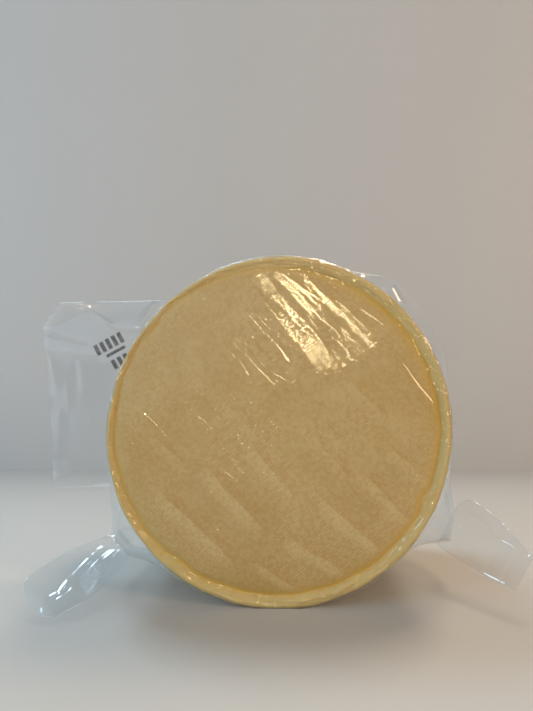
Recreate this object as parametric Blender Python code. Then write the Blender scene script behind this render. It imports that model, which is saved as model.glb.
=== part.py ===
"""Cured goat cheese: a whole pressed wheel standing on its rim, vacuum-packed in a clear bag.

Frame: metres, +Z up, origin on the small flat spot that the wheel stands on, straight below
the middle of its axis. The axis is parallel to Y and the wheel's front face looks along -Y.
Angles round the wheel are measured in the XZ plane, from +X (0 degrees) towards +Z (90 degrees).
"""
import math

import bmesh
import bpy
from mathutils import Vector

# ---------------------------------------------------------------- driving dimensions, the wheel
WHEEL_RADIUS = 0.0711          # mean radius over the pressed lip
WHEEL_DEPTH = 0.0750           # from lip crest to lip crest
WHEEL_CENTRE_HEIGHT = 0.0709   # a little under the radius, which leaves the flat spot
WHEEL_STEPS = 108              # faces round the wheel

# The hand-turned cloth and the film leave the wheel slightly out of round:
# waves round the rim, height, and the angle of the first crest.
RIM_WAVES = ((1, 0.0006, 12.0), (2, 0.0009, 148.0), (3, 0.0003, -117.0), (4, 0.0001, 24.0))

DISC_CROWN = 0.0011            # the middle of each face stands this much above its shoulder
GROOVE_RADIUS = 0.0666         # where the pressing plate met the mould wall
GROOVE_SHIFT_UP = 0.0016       # the plate sat a little high in the mould,
GROOVE_SHIFT_SIDE = -0.0006    # and a little to the left
GROOVE_DEPTH = 0.0017          # below the lip crest
SHOULDER_WIDTH = 0.0042        # the disc rolls over into the groove in this width
LIP_EDGE = 0.0022              # rounding from the lip crest to the side
SIDE_START = 0.0066            # the straight side starts this far from the lip crest
SIDE_INSET = 0.0003            # the side stands this much inside the lip

# Half of a face's outline. On the disc: shares of the flat part's radius. On the shoulder: share
# of its width left to the groove, and drop. On the lip: share of its width from the groove, and
# drop as a share of the groove's depth, then of the edge's rounding.
DISC_SHARES = (0.22, 0.44, 0.64, 0.82)
SHOULDER_KEYS = ((1.0, 0.00012), (0.62, 0.00034), (0.24, 0.00092), (0.0, GROOVE_DEPTH))
LIP_KEYS = ((0.20, 0.62), (0.42, 0.08), (0.66, 0.02))
EDGE_KEYS = ((0.86, 0.26), (1.0, 1.0))

# Places where cheese squeezed past the plate: angle, half width in degrees, shift of the groove.
GROOVE_KINKS = ((-23.5, 5.0, -0.0013), (231.5, 5.0, -0.0012), (139.0, 5.0, -0.0010), (24.0, 3.0, 0.0005))
BACK_TURN = 40.0               # the second plate's kinks lie at other angles, in degrees

# ---------------------------------------------------------------- driving dimensions, the bag
CLEARANCE = 0.0003             # between the bag's solid and the wheel
FILM_STANDOFF = 0.0009         # stretched film over the wheel's edge, outside of the lip
FIN_HALF_THICKNESS = 0.0006
FIN_ROOT = 0.0030              # the fin's solid starts this much inside the wheel, before the cut
FIN_REACH = 0.0042             # loose film past the wheel's side
FIN_WAVES = ((9.0, 0.0010), (23.0, 0.0006))   # waves of its free edge: count round the wheel, height
FIN_TAPER = 14.0               # degrees over which it narrows at its two ends
FIN_STUB = 0.12                # share of its reach that is left there
FIN_START = -74.0              # the fin is pressed flat under the wheel between its two ends
FIN_END = 254.0
FIN_STEPS = 118
FIN_ROWS = 4
FRILL_COUNT = 17               # waves along the fin
FRILL_HEIGHT = 0.0016
FRILL_LIMIT = 1.6              # most that the frill grows towards the free edge
CORNER_REACH = 0.0125          # the folded corner at the upper right, added to the fin's reach
CORNER_ANGLES = (-2.0, 72.0)
CORNER_ROUNDNESS = 0.5         # below 1 the corner is blunt
EAR_HALF_THICKNESS = 0.0006
FLOOR_GAP = 0.0006             # the bag ends this much above the surface below
TRIM_SIZE = 0.4                # block that cuts the bag off there

# Stretched film runs straight from both edges of the wheel to a pinched neck.
# Each tent: first and last angle on the wheel, then the neck's two sides.
LEFT_NECK = (Vector((-0.0720, -0.0080, 0.0224)), Vector((-0.0673, -0.0080, 0.0159)))
RIGHT_NECK = (Vector((0.0785, -0.0080, 0.0187)), Vector((0.0794, -0.0080, 0.0274)))
LEFT_TENT_ANGLES = (192.0, 243.0)
RIGHT_TENT_ANGLES = (-52.0, 9.0)
TENT_HALF_DEPTH = 0.0352
TENT_STEPS = 16
NECK_HALF_THICKNESS = 0.0014
NECK_OVERLAP = 0.0008          # the tent runs this far into the ear

# Past its neck each corner of the bag fans out and curls forward: pairs of edge points,
# from the neck to the corner's end.
LEFT_EAR = (
    LEFT_NECK,
    (Vector((-0.0909, -0.0240, 0.0182)), Vector((-0.0677, -0.0220, 0.0105))),
    (Vector((-0.1009, -0.0420, 0.0122)), Vector((-0.0763, -0.0440, 0.0092))),
    (Vector((-0.0934, -0.0500, 0.0040)), Vector((-0.0861, -0.0527, 0.0040))),
)
RIGHT_EAR = (
    RIGHT_NECK,
    (Vector((0.0791, -0.0180, 0.0159)), Vector((0.0839, -0.0140, 0.0383))),
    (Vector((0.0837, -0.0340, 0.0127)), Vector((0.0933, -0.0290, 0.0326))),
    (Vector((0.0921, -0.0470, 0.0118)), Vector((0.1007, -0.0430, 0.0231))),
)
EAR_STEPS = (14, 12)           # along the ear, across the ear
EAR_PLEATS = 2.5               # waves across an ear
EAR_PLEAT_HEIGHT = 0.0016
EAR_PLEAT_LENGTH = 0.91        # share of the ear's length that is pleated
EAR_PLEAT_FULLNESS = 0.7       # below 1 the pleats rise soon after the neck

# The bag's sealed end stands behind the wheel on the left: inner and outer edge, top to bottom.
FLAP_INNER = (Vector((-0.0380, 0.0, 0.1295)), Vector((-0.0420, 0.0, 0.1190)),
              Vector((-0.0620, 0.0, 0.0570)), Vector((-0.0600, 0.0, 0.0403)))
FLAP_OUTER = (Vector((-0.1021, 0.0, 0.1279)), Vector((-0.1117, 0.0, 0.1165)),
              Vector((-0.1068, 0.0, 0.0530)), Vector((-0.1046, 0.0, 0.0403)))
FLAP_STEPS = (12, 12)
FLAP_BOW = 0.0022              # height of the loose end's slow waves
FLAP_WAVES = (0.65, 1.1)       # their number across it and down it

CHEESE_COLOUR = (0.62, 0.46, 0.21, 1.0)
CHEESE_ROUGHNESS = 0.45
FILM_COLOUR = (0.80, 0.84, 0.86, 1.0)
FILM_ROUGHNESS = 0.08
NOT_METAL = 0.0
WHEEL_SHARP_ANGLE = 50.0       # shading breaks at edges sharper than this, in degrees
BAG_SHARP_ANGLE = 40.0
NORMAL_STEP = 0.01             # share of a sheet over which its slope is measured


# ---------------------------------------------------------------- helpers
def smooth_bump(value, low, high):
    """0 outside of low..high, 1 in the middle, with soft ends."""
    share = (value - low) / (high - low)
    if share <= 0.0 or share >= 1.0:
        return 0.0
    return math.sin(math.pi * share) ** 2


def angle_gap(angle, other):
    """Difference of two angles in degrees, from -180 to 180."""
    return (angle - other + 180.0) % 360.0 - 180.0


def on_wheel(angle, radius, depth):
    """Point at an angle and radius round the wheel's axis, at a place along the axis."""
    turn = math.radians(angle)
    return Vector((radius * math.cos(turn), depth, WHEEL_CENTRE_HEIGHT + radius * math.sin(turn)))


def rim_radius(angle):
    """Radius over the lip, slightly out of round."""
    radius = WHEEL_RADIUS
    for count, height, crest in RIM_WAVES:
        radius += height * math.cos(math.radians(count * angle - crest))
    return radius


def groove_radius(angle):
    turn = math.radians(angle)
    radius = GROOVE_RADIUS + GROOVE_SHIFT_UP * math.sin(turn) + GROOVE_SHIFT_SIDE * math.cos(turn)
    for place, half_width, shift in GROOVE_KINKS:
        radius += shift * math.exp(-(angle_gap(angle, place) / half_width) ** 2)
    return radius


def polyline_point(points, share):
    """Point at a share 0..1 along a list of points, by equal steps from point to point."""
    place = min(max(share, 0.0), 1.0) * (len(points) - 1)
    index = min(int(place), len(points) - 2)
    return points[index].lerp(points[index + 1], place - index)


def curve_point(points, share):
    """Like polyline_point, but on a smooth curve through the points."""
    place = min(max(share, 0.0), 1.0) * (len(points) - 1)
    index = min(int(place), len(points) - 2)
    part = place - index
    before = points[max(index - 1, 0)]
    start = points[index]
    end = points[index + 1]
    after = points[min(index + 2, len(points) - 1)]
    return 0.5 * (2.0 * start + (end - before) * part
                  + (2.0 * before - 5.0 * start + 4.0 * end - after) * part ** 2
                  + (3.0 * start - before - 3.0 * end + after) * part ** 3)


def principled(name, colour, roughness, metallic):
    material = bpy.data.materials.new(name)
    material.use_nodes = True
    shader = material.node_tree.nodes["Principled BSDF"]
    shader.inputs["Base Color"].default_value = colour
    shader.inputs["Roughness"].default_value = roughness
    shader.inputs["Metallic"].default_value = metallic
    return material


def new_object(name, bm, material=None):
    bmesh.ops.recalc_face_normals(bm, faces=bm.faces)
    mesh = bpy.data.meshes.new(name)
    bm.to_mesh(mesh)
    bm.free()
    if material:
        mesh.materials.append(material)
    obj = bpy.data.objects.new(name, mesh)
    bpy.context.scene.collection.objects.link(obj)
    return obj


def smooth_shading(obj, sharp_angle):
    obj.data.shade_smooth()
    obj.data.set_sharp_from_angle(angle=math.radians(sharp_angle))


def slab(steps_u, steps_v, surface, half_thickness):
    """A closed thin sheet: surface(u, v) gives the middle, u and v from 0 to 1."""
    def thick_point(u, v, side):
        u_low, u_high = max(u - NORMAL_STEP, 0.0), min(u + NORMAL_STEP, 1.0)
        v_low, v_high = max(v - NORMAL_STEP, 0.0), min(v + NORMAL_STEP, 1.0)
        along = surface(u_high, v) - surface(u_low, v)
        across = surface(u, v_high) - surface(u, v_low)
        normal = along.cross(across).normalized()
        return surface(u, v) + normal * (side * half_thickness)

    bm = bmesh.new()
    bmesh.ops.create_grid(bm, x_segments=steps_u, y_segments=steps_v, size=1.0)
    bottom = list(bm.verts)
    extruded = bmesh.ops.extrude_face_region(bm, geom=list(bm.faces), use_keep_orig=True)
    top = [item for item in extruded["geom"] if isinstance(item, bmesh.types.BMVert)]
    for verts, side in ((bottom, -1.0), (top, 1.0)):
        for vert in verts:
            u = 0.5 * (vert.co.x + 1.0)
            v = 0.5 * (vert.co.y + 1.0)
            vert.co = thick_point(u, v, side)
    bmesh.ops.triangulate(bm, faces=bm.faces)
    return bm


# ---------------------------------------------------------------- the cheese wheel
def face_profile():
    """Half of a face, from its middle to the side: share of the groove's radius, or of the
    width between groove and side, and how far below the lip crest it lies."""
    flat = 1.0 - SHOULDER_WIDTH / GROOVE_RADIUS
    inner = [(0.0, -DISC_CROWN)]
    inner += [(share * flat, -DISC_CROWN * (1.0 - share ** 2)) for share in DISC_SHARES]
    inner += [(1.0 - left * (1.0 - flat), drop) for left, drop in SHOULDER_KEYS]
    outer = [(share, drop * GROOVE_DEPTH) for share, drop in LIP_KEYS]
    outer += [(share, drop * LIP_EDGE) for share, drop in EDGE_KEYS]
    return inner, outer


def build_wheel_mesh(extra=0.0):
    """The wheel as a turned body, then set out of round. extra makes a larger copy."""
    inner, outer = face_profile()
    half = 0.5 * WHEEL_DEPTH
    front = [(share * GROOVE_RADIUS, drop - half) for share, drop in inner]
    front += [(GROOVE_RADIUS + share * (WHEEL_RADIUS - GROOVE_RADIUS), drop - half) for share, drop in outer]
    front.append((WHEEL_RADIUS - SIDE_INSET, SIDE_START - half))
    profile = front + [(radius, -depth) for radius, depth in reversed(front)]

    bm = bmesh.new()
    verts = [bm.verts.new((radius, depth, 0.0)) for radius, depth in profile]
    edges = [bm.edges.new((verts[i], verts[i + 1])) for i in range(len(verts) - 1)]
    bmesh.ops.spin(bm, geom=verts + edges, cent=(0.0, 0.0, 0.0), axis=(0.0, 1.0, 0.0),
                   angle=2.0 * math.pi, steps=WHEEL_STEPS, use_merge=True)
    bmesh.ops.remove_doubles(bm, verts=bm.verts, dist=1.0e-6)
    for vert in bm.verts:
        radius = math.hypot(vert.co.x, vert.co.z)
        angle = math.degrees(math.atan2(vert.co.z, vert.co.x))
        groove = groove_radius(angle if vert.co.y < 0.0 else 180.0 - angle + BACK_TURN)
        if radius <= GROOVE_RADIUS:
            new_radius = radius * groove / GROOVE_RADIUS
        else:
            share = (radius - GROOVE_RADIUS) / (WHEEL_RADIUS - GROOVE_RADIUS)
            new_radius = groove + share * (rim_radius(angle) - groove)
        new_radius += extra * min(radius / GROOVE_RADIUS, 1.0)
        depth = vert.co.y + math.copysign(extra, vert.co.y)
        vert.co = on_wheel(angle, new_radius, depth)
    return bm


def build_wheel(material):
    bm = build_wheel_mesh()
    cut = bmesh.ops.bisect_plane(bm, geom=list(bm.verts) + list(bm.edges) + list(bm.faces), dist=1.0e-7,
                                 plane_co=(0.0, 0.0, 0.0), plane_no=(0.0, 0.0, -1.0), clear_outer=True)
    rim = [item for item in cut["geom_cut"] if isinstance(item, bmesh.types.BMEdge)]
    bmesh.ops.edgeloop_fill(bm, edges=rim)
    smooth_shading(new_object("cheese_wheel", bm, material), WHEEL_SHARP_ANGLE)


# ---------------------------------------------------------------- the clear bag
def fin_reach(angle):
    """How far the loose film stands past the wheel's side."""
    reach = FIN_REACH + CORNER_REACH * smooth_bump(angle, *CORNER_ANGLES) ** CORNER_ROUNDNESS
    for count, height in FIN_WAVES:
        reach += height * math.sin(math.radians(count * angle))
    ends = min((angle - FIN_START) / FIN_TAPER, (FIN_END - angle) / FIN_TAPER, 1.0)
    return reach * max(ends, FIN_STUB)


def fin_surface(u, v):
    """Middle of the fin: u runs round the wheel, v from inside its side to the free edge."""
    angle = FIN_START + u * (FIN_END - FIN_START)
    inside = rim_radius(angle) - FIN_ROOT
    outside = rim_radius(angle) + fin_reach(angle)
    radius = inside + v * (outside - inside)
    loose = max(radius - rim_radius(angle), 0.0) / FIN_REACH
    wave = FRILL_HEIGHT * min(loose, FRILL_LIMIT) * math.sin(math.radians(FRILL_COUNT * angle))
    return on_wheel(angle, radius, wave)


def ear_surface(pairs):
    """A fan-shaped corner between two edge curves, pleated from its neck."""
    first = [pair[0] for pair in pairs]
    second = [pair[1] for pair in pairs]

    def surface(u, v):
        start = curve_point(first, u)
        end = curve_point(second, u)
        along = curve_point(first, u + 2.0 * NORMAL_STEP) - curve_point(first, u - 2.0 * NORMAL_STEP)
        normal = along.cross(end - start).normalized()
        fade = math.sin(math.pi * min(u / EAR_PLEAT_LENGTH, 1.0)) ** EAR_PLEAT_FULLNESS
        pleat = EAR_PLEAT_HEIGHT * fade
        return start.lerp(end, v) + normal * (pleat * math.sin(2.0 * math.pi * EAR_PLEATS * v))
    return surface


def flap_surface(u, v):
    point = polyline_point(FLAP_INNER, v).lerp(polyline_point(FLAP_OUTER, v), u)
    bow = FLAP_BOW * math.sin(2.0 * math.pi * FLAP_WAVES[0] * u) * math.cos(2.0 * math.pi * FLAP_WAVES[1] * v)
    return point + Vector((0.0, bow, 0.0))


def build_tent(name, angles, neck):
    """Film stretched from both edges of the wheel to a neck: the hull of the two arcs and it."""
    bm = bmesh.new()
    for step in range(TENT_STEPS + 1):
        angle = angles[0] + (angles[1] - angles[0]) * step / TENT_STEPS
        radius = rim_radius(angle) + FILM_STANDOFF
        for depth in (-TENT_HALF_DEPTH, TENT_HALF_DEPTH):
            bm.verts.new(on_wheel(angle, radius, depth))
    outward = ((neck[0] + neck[1]) / 2.0 - Vector((0.0, 0.0, WHEEL_CENTRE_HEIGHT))).normalized()
    for point in neck:
        for side in (-1.0, 1.0):
            bm.verts.new(point + outward * NECK_OVERLAP + Vector((0.0, side * NECK_HALF_THICKNESS, 0.0)))
    hull = bmesh.ops.convex_hull(bm, input=bm.verts)
    loose = set(hull["geom_interior"]) | set(hull["geom_unused"])
    loose_verts = [item for item in loose if isinstance(item, bmesh.types.BMVert)]
    bmesh.ops.delete(bm, geom=loose_verts, context="VERTS")
    return new_object(name, bm)


def apply_modifiers(obj):
    """Keeps the shape that the modifiers give and removes them."""
    depsgraph = bpy.context.evaluated_depsgraph_get()
    mesh = bpy.data.meshes.new_from_object(obj.evaluated_get(depsgraph))
    obj.modifiers.clear()
    obj.data = mesh


def add_boolean(obj, operation, operand):
    modifier = obj.modifiers.new(operation.title(), "BOOLEAN")
    modifier.operation = operation
    modifier.solver = "MANIFOLD"
    if isinstance(operand, bpy.types.Collection):
        modifier.operand_type = "COLLECTION"
        modifier.collection = operand
    else:
        modifier.object = operand
    apply_modifiers(obj)


def build_bag(material):
    bag = new_object("vacuum_bag", slab(FIN_STEPS, FIN_ROWS, fin_surface, FIN_HALF_THICKNESS), material)
    pieces = bpy.data.collections.new("bag_pieces")
    bpy.context.scene.collection.children.link(pieces)
    for piece in (
        build_tent("left_tent", LEFT_TENT_ANGLES, LEFT_NECK),
        build_tent("right_tent", RIGHT_TENT_ANGLES, RIGHT_NECK),
        new_object("left_ear", slab(*EAR_STEPS, ear_surface(LEFT_EAR), EAR_HALF_THICKNESS)),
        new_object("right_ear", slab(*EAR_STEPS, ear_surface(RIGHT_EAR), EAR_HALF_THICKNESS)),
        new_object("flap", slab(*FLAP_STEPS, flap_surface, FIN_HALF_THICKNESS)),
    ):
        bpy.context.scene.collection.objects.unlink(piece)
        pieces.objects.link(piece)
    add_boolean(bag, "UNION", pieces)
    for piece in list(pieces.objects):
        bpy.data.objects.remove(piece)
    bpy.data.collections.remove(pieces)

    room = new_object("wheel_room", build_wheel_mesh(CLEARANCE))
    add_boolean(bag, "DIFFERENCE", room)
    bpy.data.objects.remove(room)

    bm = bmesh.new()
    bmesh.ops.create_cube(bm, size=TRIM_SIZE)
    bmesh.ops.translate(bm, verts=bm.verts, vec=(0.0, 0.0, FLOOR_GAP - 0.5 * TRIM_SIZE))
    below = new_object("below_floor", bm)
    add_boolean(bag, "DIFFERENCE", below)
    bpy.data.objects.remove(below)
    smooth_shading(bag, BAG_SHARP_ANGLE)


def main():
    for obj in list(bpy.data.objects):
        bpy.data.objects.remove(obj)
    build_wheel(principled("cheese_rind", CHEESE_COLOUR, CHEESE_ROUGHNESS, NOT_METAL))
    build_bag(principled("clear_film", FILM_COLOUR, FILM_ROUGHNESS, NOT_METAL))


main()
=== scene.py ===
"""Cured goat cheese: a whole pressed wheel, vacuum-packed in a clear bag with loose corners.

Metres, +Z up. The wheel stands on its rim at the origin, its axis is Y and its front looks
along -Y. Angles round the wheel are degrees in the XZ plane, from +X towards +Z.
"""
import functools
import math

import bmesh
import bpy
from bpy.props import FloatProperty, FloatVectorProperty, IntProperty, PointerProperty
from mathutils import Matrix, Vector, noise


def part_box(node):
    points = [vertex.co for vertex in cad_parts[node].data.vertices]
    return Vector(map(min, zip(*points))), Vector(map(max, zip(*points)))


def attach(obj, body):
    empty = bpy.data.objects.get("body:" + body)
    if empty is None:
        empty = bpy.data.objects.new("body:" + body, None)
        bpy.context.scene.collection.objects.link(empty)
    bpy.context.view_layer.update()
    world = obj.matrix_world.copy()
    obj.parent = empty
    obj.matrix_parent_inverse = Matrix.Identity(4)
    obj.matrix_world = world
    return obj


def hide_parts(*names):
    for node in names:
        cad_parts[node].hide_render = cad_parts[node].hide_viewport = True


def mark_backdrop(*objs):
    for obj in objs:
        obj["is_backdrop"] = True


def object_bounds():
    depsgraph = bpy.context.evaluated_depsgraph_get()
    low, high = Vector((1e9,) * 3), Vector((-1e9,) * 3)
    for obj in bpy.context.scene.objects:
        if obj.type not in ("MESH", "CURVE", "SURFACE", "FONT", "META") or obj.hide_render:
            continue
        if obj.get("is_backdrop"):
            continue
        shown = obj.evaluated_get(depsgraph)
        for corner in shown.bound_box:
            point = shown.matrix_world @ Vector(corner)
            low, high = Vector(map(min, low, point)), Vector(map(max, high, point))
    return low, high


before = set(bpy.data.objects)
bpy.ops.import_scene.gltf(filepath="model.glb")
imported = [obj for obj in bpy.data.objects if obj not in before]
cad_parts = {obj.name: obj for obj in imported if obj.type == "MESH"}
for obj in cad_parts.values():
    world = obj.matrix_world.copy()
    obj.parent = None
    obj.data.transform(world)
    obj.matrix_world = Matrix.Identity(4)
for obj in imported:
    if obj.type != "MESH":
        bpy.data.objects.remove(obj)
CAD_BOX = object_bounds()

bl_info = {
    "name": "Vacuum-packed cheese wheel",
    "version": (1, 0, 0),
    "blender": (4, 5, 0),
    "location": "View3D > Sidebar > Cheese",
    "description": "Models a pressed cheese wheel and the clear film round it",
    "category": "Object",
}

BODY = "root"


def points(*rows):
    """Vectors from rows of x, y, z, or of x, z for the XZ plane."""
    return [Vector((row[0], row[1] if len(row) == 3 else 0.0, row[-1])) for row in rows]


# ---------------------------------------------------------------- the wheel, as in the frame
HALF_DEPTH = 0.0375            # half the distance from lip crest to lip crest
WHEEL_RADIUS = 0.0711
CENTRE_HEIGHT = 0.0709
# waves of the rim: count, height and angle of a crest
RIM_WAVES = ((1, 0.0006, 12.0), (2, 0.0009, 148.0), (3, 0.0003, -117.0), (4, 0.0001, 24.0))
DISC_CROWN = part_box("cheese_wheel")[1].y - HALF_DEPTH    # the middle of a face stands this much above its lip
GROOVE_RADIUS = 0.0666
GROOVE_SHIFT_UP = 0.0016       # the groove's ring is off the wheel's middle
GROOVE_SHIFT_SIDE = -0.0006
GROOVE_DEPTH = 0.0017
SHOULDER_FALL = 0.0017         # how fast the disc rolls over into the groove
LIP_EDGE = 0.0022              # from the lip's crest to the side
FILM_LUMPS = 0.00025           # the part of the lip's lumps that the film follows
SIDE_INSET = 0.0003            # the side is a little narrower than its edges
# share of the lip's width, and the depth there as a share of the groove's
LIP_KEYS = (0.0, 1.0), (0.20, 0.62), (0.46, 0.18), (0.68, 0.02), (0.89, 0.30), (1.0, 0.90)
# The film slopes straight from this share of the groove's depth to this share of the lip's width
FILM_LIP_START, FILM_LIP_END = 0.50, 0.62
TIGHT_SIDE = (130.0, 205.0)    # between these angles the film sinks into the whole groove
# angle, half width in degrees, shift of the groove
GROOVE_KINKS = ((-23.5, 5.0, -0.0013), (231.5, 5.0, -0.0012), (139.0, 5.0, -0.0010), (24.0, 3.0, 0.0005))
BACK_TURN = 40.0               # the back face's kinks lie at other angles
GROOVE_DRIFT = (0.0007, -80.0)  # the groove lies this much farther out at this angle
GROOVE_WANDER = ((0.0006, 13.0, 5.0), (0.0007, 46.0, 8.0))    # height, lumps round the wheel and seed
LIP_LUMPS = (34.0, 110.0)      # coarse and fine lumps round the wheel
WORN_SIDE = (45.0, 205.0)      # between these angles the groove is shallow and the lip is faint
WORN_SHARE = 0.5
FRONT, BACK = -1.0, 1.0
TABLE_CLEARANCE = 0.00015

# Whitish bands of the pressed faces in the XZ plane: start and end of the sharp upper side, width, strength
FACE_BANDS = (
    ((-0.0521, 0.0540), (-0.0188, 0.0215), 0.0075, 1.0), ((-0.0326, 0.0625), (-0.0066, 0.0341), 0.0065, 0.9),
    ((-0.0143, 0.0735), (0.0072, 0.0463), 0.0062, 0.8), ((0.0141, 0.0495), (0.0425, 0.0250), 0.0072, 1.0),
    ((0.0307, 0.0593), (0.0570, 0.0342), 0.0065, 0.8), ((0.0015, 0.0329), (0.0280, 0.0148), 0.0066, 1.0),
    ((-0.0115, 0.0215), (0.0108, 0.0077), 0.0052, 0.9), ((0.0429, 0.0686), (0.0616, 0.0524), 0.0055, 0.6),
    ((0.0088, 0.0767), (0.0299, 0.0548), 0.0055, 0.5), ((0.0275, 0.0950), (0.0430, 0.0800), 0.0055, 0.4),
    ((-0.0521, 0.0747), (-0.0359, 0.0572), 0.0055, 0.5), ((-0.0260, 0.0900), (-0.0080, 0.0715), 0.0060, 0.35),
)
BAND_SHIFT = 0.0022            # the bands' bend moves them by this much

# ---------------------------------------------------------------- the bag, as in the frame
FIN_REACH = 0.0042
FIN_START, FIN_END = -74.0, 254.0
FIN_TAPER = 14.0               # its ends taper off over so many degrees
FRILL_COUNT = 17               # its waves towards the front and back
FRILL_HEIGHT = 0.0016
FRAYS = ((0.0010, 9.0), (0.0006, 23.0))    # height and number of the waves of its free edge
CORNER_REACH = 0.0125          # how much farther it reaches at its corner
CORNER_ANGLES = (-2.0, 72.0)
LEFT_NECK = points((-0.0720, -0.0080, 0.0224), (-0.0673, -0.0080, 0.0159))
RIGHT_NECK = points((0.0785, -0.0080, 0.0187), (0.0794, -0.0080, 0.0274))
# first and last angle on the wheel, and the neck between them
TENTS = ((192.0, 243.0, LEFT_NECK), (-52.0, 9.0, RIGHT_NECK))
NECK_SHARE = (0.40, 0.60)      # part of a tent's angles that ends in its neck
TENT_PLEATS, TENT_PLEAT_TURNS = 0.0004, 46.0    # height, and turn in radians over a tent
SIDE_FOLDS = 0.00018           # height of the folds on the side
SEAM_TUCK, SEAM_WANDER = 0.0002, 0.0006    # the seam lies under the rim's edge and wanders to both sides
RIM_BULGE = (181.0, 236.0, 0.0036)    # loose film beside the left corner: angles, height
# Both edges of a corner, from its neck to its free end
LEFT_EAR = (
    LEFT_NECK,
    points((-0.0909, -0.0240, 0.0182), (-0.0677, -0.0220, 0.0105)),
    points((-0.1009, -0.0420, 0.0122), (-0.0763, -0.0440, 0.0092)),
    points((-0.0934, -0.0500, 0.0040), (-0.0861, -0.0527, 0.0040)),
)
RIGHT_EAR = (
    RIGHT_NECK,
    points((0.0791, -0.0180, 0.0159), (0.0839, -0.0140, 0.0383)),
    points((0.0837, -0.0340, 0.0127), (0.0933, -0.0290, 0.0326)),
    points((0.0921, -0.0470, 0.0118), (0.1007, -0.0430, 0.0231)),
)
# along, tilt and lift of a corner's sheet
LEFT_SHEET = ((0.0, 0.90, 0.0016), (0.06, 0.86, 0.0016), (0.20, 0.47, 0.0018), (0.35, 0.25, 0.0009),
              (0.50, 0.09, -0.0007), (0.65, -0.01, -0.0019), (0.80, 0.02, -0.0023), (1.0, 0.04, -0.0023))
RIGHT_SHEET = ((0.0, -0.10, 0.0), (0.20, -0.12, 0.0028), (0.35, -0.10, 0.0014), (0.50, -0.03, -0.0001),
               (0.65, 0.07, -0.0009), (0.80, 0.18, -0.0010), (0.93, 0.23, -0.0004), (1.0, 0.25, 0.0))
LEFT_STEP, RIGHT_STEP = 0.20, 0.28    # tilt of the creases' strips against the sheet
# half width of a crease, and its rows of along and across
LEFT_CREASES = (
    (0.00045, ((0.03, 0.05), (0.06, 0.10), (0.20, 0.31), (0.35, 0.40), (0.50, 0.47), (0.65, 0.53),
               (0.97, 0.22))),
    (0.00022, ((0.20, 0.54), (0.35, 0.56), (0.50, 0.62), (0.65, 0.66), (0.93, 0.45))),
    (0.00012, ((0.28, 0.47), (0.50, 0.545), (0.78, 0.57))),
    (0.0005, ((0.10, 0.62), (0.22, 0.61), (0.33, 0.62))),
    (0.00012, ((0.06, 0.72), (0.20, 0.72), (0.35, 0.78), (0.50, 0.88), (0.60, 0.96))),
)
RIGHT_CREASES = (
    (0.0007, ((0.34, 0.78), (0.50, 0.82), (0.66, 0.70))),
    (0.0002, ((0.64, 0.70), (0.84, 0.84))),
    (0.0006, ((0.91, 0.93), (0.98, 0.98))),
    (0.0002, ((0.20, 0.21), (0.35, 0.20), (0.50, 0.15), (0.65, 0.06))),
    (0.0003, ((0.68, 0.05), (0.88, 0.05))),
)
# Inner and outer edge of the sealed end, from its top
FLAP_INNER = points((-0.0480, 0.1295), (-0.0530, 0.1190), (-0.0695, 0.0570), (-0.0660, 0.0403))
FLAP_OUTER = points((-0.1021, 0.1279), (-0.1117, 0.1165), (-0.1068, 0.0530), (-0.1046, 0.0403))
FLAP_WIDTH, FLAP_LENGTH = 0.045, 0.090
FOLDED_CORNER = (-0.1021, 0.1180, 0.45)    # x and z of a point on its fold, and the fold's slope
HEM_WIDTH = 0.0022             # the welded edge of the sealed end
# Folds of the sealed end: start, end, height towards the front and half width
END_FOLDS = (
    (*points((-0.1021, 0.1279), (-0.0894, 0.1246)), 0.0009, 0.0010),
    (*points((-0.0894, 0.1246), (-0.0755, 0.1160)), 0.0010, 0.0009),
    (*points((-0.0755, 0.1160), (-0.0600, 0.1152)), 0.0009, 0.0009),
    (*points((-0.1110, 0.1055), (-0.0860, 0.1032)), 0.0008, 0.0012),
    (*points((-0.1095, 0.1020), (-0.1030, 0.0510)), 0.0006, 0.0010),
    (*points((-0.1010, 0.1010), (-0.0975, 0.0490)), -0.0006, 0.0015),
    (*points((-0.0955, 0.1000), (-0.0935, 0.0810)), 0.0006, 0.0012),
    (*points((-0.1110, 0.1160), (-0.0890, 0.1090)), 0.0007, 0.0010),
    (*points((-0.0900, 0.0410), (-0.0780, 0.0630)), 0.0006, 0.0012),
)
# Pleats: start, end, half width, tilt and lift of the flat strip
CORNER_PLEAT = (*points((0.0540, 0.1365), (0.0590, 0.1266)), 0.0006, -0.37, 0.0009)
END_PLEAT = (*points((-0.0584, 0.1293), (-0.0665, 0.1150)), 0.0006, 0.46, 0.0009)
PLEAT_FALL = 0.30              # slope beside the strip
PLEAT_END = 0.0015             # a pleat fades over this length at each end
FIN_STEPS, CORNER_STEPS, END_STEPS = (660, 30), (160, 200), (170, 200)
EDGE_STEPS, FIN_EDGE_STEPS = 160, 640
# the painted pale sheen of the film over the rim's edge, and how milky it is on the side and at its cut edges
EDGE_SHEEN, SIDE_HAZE, CUT_HAZE = 0.45, 0.03, 0.28

# The printed bars: across, up, width and height, round a centre
BAR_CENTRE = Vector((-0.0757, 0.0, 0.1048))
BAR_TURN = math.radians(29.0)
BAR_GAP = 0.0007               # in front of the film
BAR_PITCH = 0.0031
BARS = [(0.0, 0.0, 0.0098, 0.0014)]
for _bar in range(5):
    BARS.append((-0.0074 + BAR_PITCH * _bar, 0.0048, 0.0019, 0.0052))
    BARS.append((-0.0035 + BAR_PITCH * _bar, -0.0050, 0.0019, 0.0046))

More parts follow.
